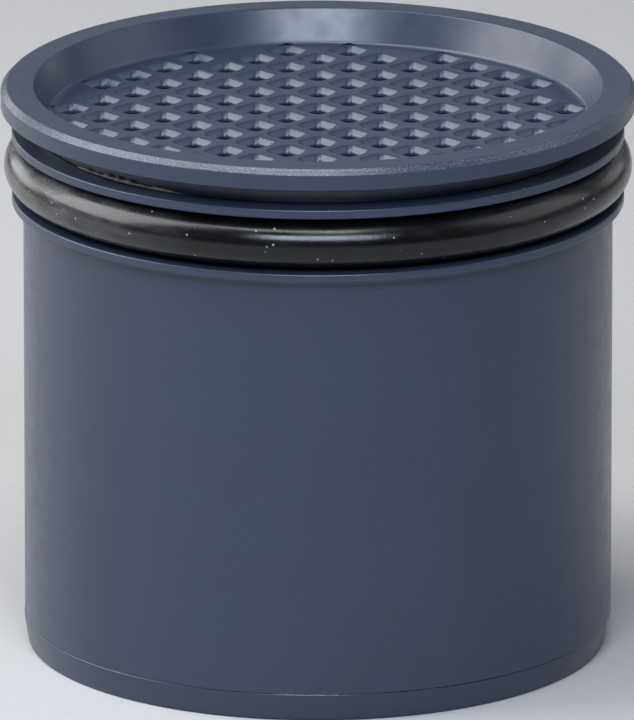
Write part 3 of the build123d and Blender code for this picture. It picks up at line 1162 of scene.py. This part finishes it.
class CARTRIDGE_OT_inlet_lid(bpy.types.Operator):
    """Turns the dished lid with its rim, neck and spigot, and cuts the funnel-mouthed holes"""

    bl_idname = "cartridge.inlet_lid"
    bl_label = "Inlet lid"

    def execute(self, context):
        size = context.scene.cartridge_housing
        holes = context.scene.cartridge_perforation
        top, rim = size.height / MM, size.rim_radius / MM
        under = top - size.rim_thickness / MM
        floor = top - size.dish_depth / MM
        seat = floor - size.floor_thickness / MM
        neck = size.neck_radius / MM
        outline = rounded(
            [
                (0.0, seat, 0.0),
                (38.7, seat, 0.3),
                (38.7, seat - 10.0, 0.3),
                (41.7, seat - 10.0, 0.4),
                (41.7, 82.65, 0.1),
                (39.5, 82.65, 0.1),
                (39.5, 85.15, 0.1),
                (41.7, 85.15, 0.1),
                (41.7, seat, 0.1),
                (neck, seat, 0.25),
                (neck, under, 0.35),
                (rim, under, 0.13),
                (rim, top - 0.95, 0.25),
                (rim - 0.95, top, 0.25),
                (size.mouth_radius / MM, top, 0.4),
                (size.floor_radius / MM, floor, 1.2),
                (0.0, floor, 0.0),
            ]
        )
        lid = blank(FINISHES["lid"], outline, segments=384)
        side, lip = holes.side / MM, holes.lip_side / MM
        depth = holes.lip_depth / MM
        # The sloped mouth, softened where it leaves the floor and where it meets the hole
        loops = [
            soft_square(side + 0.3, 0.95, seat - 0.5),
            soft_square(side + 0.3, 0.95, seat - 0.02),
            soft_square(side, 0.9, seat + 0.16),
            soft_square(side, 0.9, floor - depth - 0.25),
            soft_square(side + 0.1, 0.95, floor - depth - 0.06),
            soft_square(side + 0.36, 1.0, floor - depth + 0.16),
            soft_square(lip - 0.4, 1.1, floor - 0.22),
            soft_square(lip - 0.02, 1.2, floor - 0.07),
            soft_square(lip + 0.4, 1.3, floor + 0.012),
            soft_square(lip - 0.2, 1.2, floor + 0.35),
            soft_square(lip - 1.6, 0.9, floor + 0.75),
        ]
        cutter = hidden_tool("inlet hole", *stacked_loops(loops))
        grow(
            lid,
            TREES["perforation"],
            Cutter=cutter,
            Pitch=holes.pitch,
            Rows=12,
            Field_Radius=holes.field_radius,
            Turn=radians(45),
            Material=FINISHES["lid"],
        )
        piece = settle("lid_shell", lid)
        bpy.data.objects.remove(cutter)
        place(piece, "lid", "housing_plastic", "inlet_lid")
        shape = rounded([(1.5, 78.9, 0.2), (3.5, 78.9, 0.3), (3.5, 88.95, 0.0), (1.5, 88.95, 0.0)])
        boss = blank(FINISHES["housing"], shape, segments=32)
        boss.data.transform(Matrix.Translation((SCREW_CIRCLE, 0.0, 0.0)))
        holder = link("bosses", bpy.data.meshes.new("bosses"))
        grow(holder, TREES["around"], Repeated=boss, Count=4, Material=FINISHES["housing"])
        bosses = settle("screw_bosses", holder)
        bpy.data.objects.remove(boss)
        place(bosses, "lid", "housing_plastic")
        return {"FINISHED"}


class CARTRIDGE_OT_small_seals(bpy.types.Operator):
    """Rolls the three small seal rings of the lid, the basket and the magnet core"""

    bl_idname = "cartridge.small_seals"
    bl_label = "Small seals"

    def execute(self, context):
        section = context.scene.cartridge_seals.small_section / MM / 2
        for name, body, node, across, up, radius in (
            ("lid_seal", "lid", "lid_seal_ring", 41.95 - section, 83.9, section),
            ("basket_seal", "basket", "basket_seal_ring", 41.95 - section, 72.1, section),
            ("core_seal", "lid", "core_seal_ring", 10.65, 69.4, 1.0),
        ):
            piece = turned(name, FINISHES["rubber"], circle(across, up, radius, 24), segments=192)
            place(piece, body, "seal_rubber", node)
        return {"FINISHED"}


class CARTRIDGE_OT_basket(bpy.types.Operator):
    """Builds the strainer basket: floor, ribbed cage, woven mesh and top ring"""

    bl_idname = "cartridge.basket"
    bl_label = "Strainer basket"

    def execute(self, context):
        size = context.scene.cartridge_basket
        inner = FINISHES["inner"]
        base = turned(
            "basket_base",
            inner,
            rounded(
                [
                    (0.0, 6.0, 0.0),
                    (38.0, 6.0, 0.4),
                    (38.0, 8.5, 0.1),
                    (16.0, 8.5, 0.3),
                    (16.0, 12.5, 0.3),
                    (14.0, 12.5, 0.3),
                    (14.0, 8.5, 0.2),
                    (0.0, 8.5, 0.0),
                ]
            ),
        )
        place(base, "basket", "inner_plastic", "basket_floor")
        cage_low, cage_span, half = 8.5, 60.1, 1.25
        near, far = 36.0, 37.9
        hoops = [
            rounded([(near, z - half, 0.1), (far, z - half, 0.4), (far, z + half, 0.4), (near, z + half, 0.1)])
            for z in (cage_low + cage_span / 3, cage_low + 2 * cage_span / 3)
        ]
        cage = blank(inner, *hoops, segments=192)
        rib = hidden_tool("rib", *rounded_bar((36.02, -2.0, 8.5), (38.0, 2.0, 68.6), 0.35))
        grow(cage, TREES["arms"], Repeated=rib, Count=size.ribs, Material=inner)
        frame_piece = settle("basket_frame", cage)
        bpy.data.objects.remove(rib)
        place(frame_piece, "basket", "inner_plastic", "basket_cage")
        ring = turned(
            "basket_ring",
            inner,
            rounded(
                [
                    (36.0, 68.6, 0.1),
                    (41.7, 68.6, 0.4),
                    (41.7, 70.85, 0.1),
                    (39.5, 70.85, 0.1),
                    (39.5, 73.35, 0.1),
                    (41.7, 73.35, 0.1),
                    (41.7, 75.6, 0.4),
                    (34.7, 75.6, 0.5),
                    (34.7, 72.6, 0.1),
                    (36.0, 72.6, 0.1),
                ]
            ),
        )
        place(ring, "basket", "inner_plastic", "basket_top_ring")
        holder = link("mesh", bpy.data.meshes.new("mesh"))
        grow(
            holder,
            TREES["woven"],
            Warps=size.warps,
            Wefts=size.wefts,
            Radius=35.7 * MM,
            Bottom=8.7 * MM,
            Height=63.6 * MM,
            Wire=size.wire,
            Material=FINISHES["wire"],
        )
        mesh = settle("strainer_mesh", holder, sharp_above=80.0, weighted=False)
        place(mesh, "basket", "mesh_steel", "basket_mesh")
        return {"FINISHED"}


class CARTRIDGE_OT_sleeve(bpy.types.Operator):
    """Turns the dry magnet sleeve with its collar and its rubber foot"""

    bl_idname = "cartridge.sleeve"
    bl_label = "Magnet sleeve"

    def execute(self, context):
        tube = turned(
            "sleeve_tube",
            FINISHES["tube"],
            rounded(
                [
                    (0.0, 10.0, 0.0),
                    (12.5, 10.0, 1.0),
                    (12.5, 75.6, 0.15),
                    (11.7, 75.6, 0.15),
                    (11.7, 10.8, 0.4),
                    (0.0, 10.8, 0.0),
                ]
            ),
            segments=128,
        )
        place(tube, "sleeve", "sleeve_steel", "magnet_sleeve")
        collar = turned(
            "sleeve_collar_ring",
            FINISHES["inner"],
            rounded([(12.52, 68.6, 0.2), (15.5, 68.6, 0.5), (15.5, 75.6, 0.5), (12.52, 75.6, 0.2)]),
            segments=128,
        )
        place(collar, "sleeve", "inner_plastic", "sleeve_collar")
        foot = turned(
            "sleeve_foot_cup",
            FINISHES["rubber"],
            rounded(
                [
                    (0.0, 8.5, 0.0),
                    (13.7, 8.5, 0.6),
                    (13.7, 13.5, 0.4),
                    (12.52, 13.5, 0.1),
                    (12.52, 9.98, 0.9),
                    (0.0, 9.98, 0.0),
                ]
            ),
            segments=128,
        )
        place(foot, "sleeve", "seal_rubber", "sleeve_foot")
        return {"FINISHED"}


class CARTRIDGE_OT_spider(bpy.types.Operator):
    """Builds the spider that carries the magnet core under the lid, and its four screws"""

    bl_idname = "cartridge.spider"
    bl_label = "Spider and screws"

    def execute(self, context):
        inner = FINISHES["inner"]
        hub = rounded(
            [
                (2.55, 62.9, 0.2),
                (11.3, 62.9, 0.5),
                (11.3, 68.35, 0.1),
                (9.6, 68.35, 0.1),
                (9.6, 70.45, 0.1),
                (11.3, 70.45, 0.1),
                (11.3, 75.9, 0.1),
                (15.5, 75.9, 0.4),
                (15.5, 78.9, 0.4),
                (2.55, 78.9, 0.2),
            ]
        )
        ring = rounded([(32.7, 75.9, 0.4), (41.7, 75.9, 0.4), (41.7, 78.9, 0.3), (32.7, 78.9, 0.4)])
        wheel = blank(inner, hub, ring, segments=192)
        spoke = hidden_tool("spoke", *rounded_bar((13.0, -2.5, 75.95), (35.0, 2.5, 78.85), 0.3))
        grow(wheel, TREES["arms"], Repeated=spoke, Count=4, Material=inner)
        recess = blank(inner, plug(2.62, 75.0, 77.92), segments=40)
        recess.data.transform(Matrix.Translation((SCREW_CIRCLE, 0.0, 0.0)))
        grow(wheel, TREES["slots"], Repeated=recess, Count=4, Material=inner)
        piece = settle("core_wheel", wheel)
        for tool in (spoke, recess):
            bpy.data.objects.remove(tool)
        place(piece, "lid", "inner_plastic", "core_spider")
        shape = rounded(
            [
                (0.0, 75.9, 0.0),
                (2.6, 75.9, 0.25),
                (2.6, 77.9, 0.1),
                (1.5, 77.9, 0.1),
                (1.5, 84.9, 0.2),
                (0.0, 84.9, 0.0),
            ]
        )
        screw = blank(FINISHES["fastener"], shape, segments=40)
        hexagon = [
            [(1.2 * MM * cos(radians(60 * i)), 1.2 * MM * sin(radians(60 * i)), z * MM) for i in range(6)]
            for z in (75.0, 77.1)
        ]
        key = hidden_tool("key", *stacked_loops(hexagon))
        grow(screw, TREES["slots"], Repeated=key, Count=1, Material=FINISHES["fastener"])
        one = settle("screw", screw, weighted=False)
        one.data.transform(Matrix.Translation((SCREW_CIRCLE, 0.0, 0.0)))
        holder = link("screws", bpy.data.meshes.new("screws"))
        grow(holder, TREES["around"], Repeated=one, Count=4, Material=FINISHES["fastener"])
        screws = settle("spider_screw_set", holder)
        for tool in (key, one):
            bpy.data.objects.remove(tool)
        place(screws, "lid", "fastener_steel", "spider_screws")
        return {"FINISHED"}


class CARTRIDGE_OT_magnet_core(bpy.types.Operator):
    """Stacks the pole pieces and ring magnets on the threaded tie rod, with washers and nuts"""

    bl_idname = "cartridge.magnet_core"
    bl_label = "Magnet core"

    def execute(self, context):
        size = context.scene.cartridge_core
        bottom, top, hole, plate = 17.9, 61.9, 2.55, 1.6
        magnet = (top - bottom - (size.magnets + 1) * plate) / size.magnets
        step = (magnet + plate) * MM
        pole = size.pole_radius / MM
        low, high = bottom, bottom + plate
        shape = rounded([(hole, low, 0.1), (pole, low, 0.25), (pole, high, 0.25), (hole, high, 0.1)], 3)
        ring = blank(FINISHES["pole"], shape, segments=128)
        grow(ring, TREES["stack"], Count=size.magnets + 1, Step=step, Material=FINISHES["pole"])
        place(
            settle("pole_rings", ring),
            "lid",
            "pole_steel",
            *[f"pole_piece_{i}" for i in range(1, 6)],
        )
        low, high, wide = bottom + plate, bottom + plate + magnet, size.magnet_radius / MM
        ring = blank(
            FINISHES["nickel"],
            rounded([(hole, low, 0.1), (wide, low, 0.5), (wide, high, 0.5), (hole, high, 0.1)], 4),
            segments=128,
        )
        grow(ring, TREES["stack"], Count=size.magnets, Step=step, Material=FINISHES["nickel"])
        place(
            settle("magnet_rings", ring),
            "lid",
            "magnet_nickel",
            *[f"ring_magnet_{i}" for i in range(1, 5)],
        )
        washer = blank(
            FINISHES["brass"],
            rounded([(hole, 16.9, 0.1), (9.0, 16.9, 0.2), (9.0, 17.9, 0.2), (hole, 17.9, 0.1)], 3),
            segments=96,
        )
        grow(washer, TREES["stack"], Count=2, Step=45.0 * MM, Material=FINISHES["brass"])
        place(settle("rod_washers", washer), "lid", "washer_brass", "upper_washer", "lower_washer")
        self.rod(size)
        self.nuts()
        return {"FINISHED"}

    def rod(self, size):
        """A rod with a rolled thread over its whole length, and chamfered ends."""
        radius, pitch = size.rod_radius / MM, size.thread_pitch / MM
        low, high, around, per_pitch = 11.9, 83.9, 24, 4
        levels = int((high - low) / pitch * per_pitch)
        loops = []
        for level in range(levels + 1):
            z = low + (high - low) * level / levels
            ends = min(1.0, (z - low) / 0.6, (high - z) / 0.6)
            loop = []
            for i in range(around):
                turn = 2 * pi * i / around
                phase = ((z - low) / pitch - i / around) % 1.0
                crest = 1 - abs(2 * phase - 1)
                r = (radius - 0.42 + 0.42 * min(1.0, 1.25 * crest)) * (0.82 + 0.18 * ends)
                loop.append((r * cos(turn) * MM, r * sin(turn) * MM, z * MM))
            loops.append(loop)
        piece = hidden_tool("rod", *stacked_loops(loops))
        piece.data.materials.append(FINISHES["fastener"])
        place(settle("rod", piece, sharp_above=60.0, weighted=False), "lid", "fastener_steel", "tie_rod")

    def nuts(self):
        """Two hexagon nuts with their corners turned off."""
        half_flats, around = 4.0, 48
        across = 2 * half_flats / sqrt(3)
        for name, node, bottom in (
            ("upper_nut", "upper_rod_nut", 78.9),
            ("lower_nut", "lower_rod_nut", 12.9),
        ):
            loops = []
            for z, limit in ((0.0, 4.05), (0.32, 4.7), (3.68, 4.7), (4.0, 4.05)):
                loop = []
                for i in range(around):
                    turn = 2 * pi * i / around
                    flat = half_flats / cos((turn + pi / 6) % (pi / 3) - pi / 6)
                    r = min(flat, limit, across)
                    loop.append((r * cos(turn) * MM, r * sin(turn) * MM, (bottom + z) * MM))
                loops.append(loop)
            nut = hidden_tool(name, *stacked_loops(loops))
            nut.data.materials.append(FINISHES["fastener"])
            bore = blank(FINISHES["fastener"], plug(2.53, bottom - 1, bottom + 5), segments=32)
            grow(nut, TREES["slots"], Repeated=bore, Count=1, Material=FINISHES["fastener"])
            piece = settle(name, nut, sharp_above=25.0)
            bpy.data.objects.remove(bore)
            place(piece, "lid", "fastener_steel", node)


# Bands of flecks: body, name, count, from and to in degrees from the front (left is negative),
# inner and outer radius, low and high, size of the largest; the lengths are in millimetres
FLECKS = (
    # Pale crumbs on the front of the rim's chamfer, where the top softbox's highlight falls: partly real
    # scuffs, partly painted sparkle of that highlight
    ("lid", "rim_scuff_flecks", 420, -21, 13, 52.35, 52.7, 95.8, 96.12, 0.08),
    ("lid", "rim_stray_flecks", 90, -60, 40, 52.2, 52.92, 95.4, 96.2, 0.06),
    ("lid", "mouth_edge_flecks", 46, 29, 60, 47.3, 47.75, 95.95, 96.17, 0.12),
    ("lid", "neck_flecks", 60, -59, -40, 46.98, 47.12, 89.6, 92.6, 0.14),
    ("canister", "seam_flecks", 70, -9, 4, 49.22, 49.32, 4.62, 4.8, 0.11),
    ("canister", "seam_stray_flecks", 90, -62, 30, 49.2, 49.32, 4.6, 4.8, 0.07),
    ("canister", "flange_flecks", 26, -62, 50, 50.9, 51.15, 88.82, 88.92, 0.09),
)


class CARTRIDGE_OT_dust(bpy.types.Operator):
    """Scatters dust and chips along the edges, with a band of pale crumbs on the rim's front that is partly
    scuffs and partly painted sparkle of the top softbox's highlight, and lays the dried deposit at the neck's
    foot
    """

    bl_idname = "cartridge.dust"
    bl_label = "Dust and deposit"

    def execute(self, context):
        for seed, (body, name, count, start, end, inner, outer, low, high, across) in enumerate(FLECKS):
            holder = link(name, bpy.data.meshes.new(name))
            grow(
                holder,
                TREES["flecks"],
                Count=count,
                From=radians(start),
                To=radians(end),
                Inner=inner * MM,
                Outer=outer * MM,
                Low=low * MM,
                High=high * MM,
                Size=across * MM,
                Seed=seed * 10,
                Material=FINISHES["dust"],
            )
            place(settle(name, holder, weighted=False), body, "housing_plastic")
        self.deposit()
        return {"FINISHED"}

    def deposit(self):
        """An uneven bead, thin at both ends, in the corner between the neck and the flange."""
        start, end, steps, around = -58, -28, 90, 8
        loops = []
        for step in range(steps + 1):
            share = step / steps
            turn = radians(start + (end - start) * share)
            thick = 0.44 * sqrt(sin(pi * min(max(share, 0.004), 0.996)))
            thick *= 0.72 + 0.28 * sin(17 * share + 1.3 * sin(41 * share))
            centre = 47.04 + thick
            loop = []
            for i in range(around):
                way = 2 * pi * i / around
                reach = centre + thick * cos(way)
                up = 88.92 + thick * (1 + 0.9 * sin(way))
                loop.append((reach * sin(turn) * MM, -reach * cos(turn) * MM, up * MM))
            loops.append(loop)
        bead = hidden_tool("bead", *stacked_loops(loops))
        bead.data.materials.append(FINISHES["deposit"])
        place(settle("neck_deposit", bead, weighted=False), "canister", "housing_plastic")


class CARTRIDGE_OT_stage(bpy.types.Operator):
    """Sets the pale floor, the soft lights, the surroundings and the camera"""

    bl_idname = "cartridge.stage"
    bl_label = "Stage"

    def execute(self, context):
        scene = context.scene
        view = scene.cartridge_stage
        floor = link("floor", bpy.data.meshes.new("floor"))
        floor.data.from_pydata([(-6, -6, 0), (6, -6, 0), (6, 6, 0), (-6, 6, 0)], [], [(0, 1, 2, 3)])
        floor.data.materials.append(pale_paper("seamless paper, matt white"))

        world = bpy.data.worlds.new("surroundings")
        scene.world = world
        world.use_nodes = True
        back = world.node_tree.nodes["Background"]
        back.inputs["Color"].default_value = opaque(hex_to_linear("#EEF2F8"))
        back.inputs["Strength"].default_value = 0.12

        for name, azimuth, elevation, distance, width, height, radiance, tone in LIGHTS:
            lamp = bpy.data.lights.new(name, "AREA")
            lamp.shape = "RECTANGLE"
            lamp.size, lamp.size_y = width, height
            lamp.energy = radiance * pi * width * height
            lamp.color = hex_to_linear(tone)
            stand = bpy.data.objects.new(name, lamp)
            scene.collection.objects.link(stand)
            a, e = radians(azimuth), radians(elevation)
            spot = Vector((sin(a) * cos(e), -cos(a) * cos(e), sin(e))) * distance
            stand.location = spot + Vector((0, 0, 0.06))
            stand.rotation_euler = spot.to_track_quat("Z", "Y").to_euler()

        camera = bpy.data.cameras.new("camera")
        camera.lens = view.focal_length
        camera.sensor_width = 36
        camera.shift_x = -1.0 / 720
        camera.shift_y = 0.5 / 720
        camera.clip_start, camera.clip_end = 0.1, 20
        camera.dof.use_dof = False
        eye = bpy.data.objects.new("camera", camera)
        scene.collection.objects.link(eye)
        line = Vector((0, -cos(view.elevation), sin(view.elevation)))
        eye.location = Vector((0, 0, view.aim_height)) + line * view.distance
        eye.rotation_euler = line.to_track_quat("Z", "Y").to_euler()
        scene.camera = eye
        scene.view_settings.view_transform = "Standard"
        return {"FINISHED"}


# Name, azimuth from the camera (left is negative) and elevation in degrees, distance, width and
# height in metres, radiance, colour
LIGHTS = (
    ("left softbox", -96, 38, 0.9, 0.75, 0.78, 5.2, "#FFFFFF"),
    ("left fill", -138, 12, 0.9, 0.45, 0.26, 2.7, "#FFFFFF"),
    ("front softbox", 0, 38, 0.95, 0.6, 0.3, 13.5, "#E0ECFF"),
    ("top softbox", -25, 72, 0.9, 0.65, 0.26, 7.0, "#FFFFFF"),
    ("right fill", 95, 34, 1.0, 0.8, 0.7, 1.0, "#FFFFFF"),
    ("right rim light", 140, 12, 0.9, 0.3, 0.24, 0.8, "#FFFFFF"),
    ("back softbox", 180, 20, 1.2, 1.2, 0.5, 0.22, "#FFFFFF"),
)

OPERATORS = (
    CARTRIDGE_OT_finishes,
    CARTRIDGE_OT_canister,
    CARTRIDGE_OT_main_seal,
    CARTRIDGE_OT_outlet_cap,
    CARTRIDGE_OT_inlet_lid,
    CARTRIDGE_OT_small_seals,
    CARTRIDGE_OT_basket,
    CARTRIDGE_OT_sleeve,
    CARTRIDGE_OT_spider,
    CARTRIDGE_OT_magnet_core,
    CARTRIDGE_OT_dust,
    CARTRIDGE_OT_stage,
)


class CARTRIDGE_PT_sidebar(bpy.types.Panel):
    """Lists the pieces in the order in which they are built"""

    bl_label = "Filter cartridge"
    bl_idname = "CARTRIDGE_PT_sidebar"
    bl_space_type = "VIEW_3D"
    bl_region_type = "UI"
    bl_category = "Cartridge"

    def draw(self, context):
        for operator in OPERATORS:
            self.layout.operator(operator.bl_idname)


GROUPS = {
    "cartridge_housing": CartridgeHousing,
    "cartridge_perforation": CartridgePerforation,
    "cartridge_seals": CartridgeSeals,
    "cartridge_basket": CartridgeBasket,
    "cartridge_core": CartridgeCore,
    "cartridge_colours": CartridgeColours,
    "cartridge_stage": CartridgeStage,
}


def register():
    for name, group in GROUPS.items():
        bpy.utils.register_class(group)
        setattr(bpy.types.Scene, name, PointerProperty(type=group))
    for operator in OPERATORS:
        bpy.utils.register_class(operator)
    bpy.utils.register_class(CARTRIDGE_PT_sidebar)


def unregister():
    bpy.utils.unregister_class(CARTRIDGE_PT_sidebar)
    for operator in reversed(OPERATORS):
        bpy.utils.unregister_class(operator)
    for name, group in reversed(GROUPS.items()):
        delattr(bpy.types.Scene, name)
        bpy.utils.unregister_class(group)


def main():
    register()
    for operator in OPERATORS:
        family, _, step = operator.bl_idname.partition(".")
        getattr(getattr(bpy.ops, family), step)()


if __name__ == "__main__":
    main()
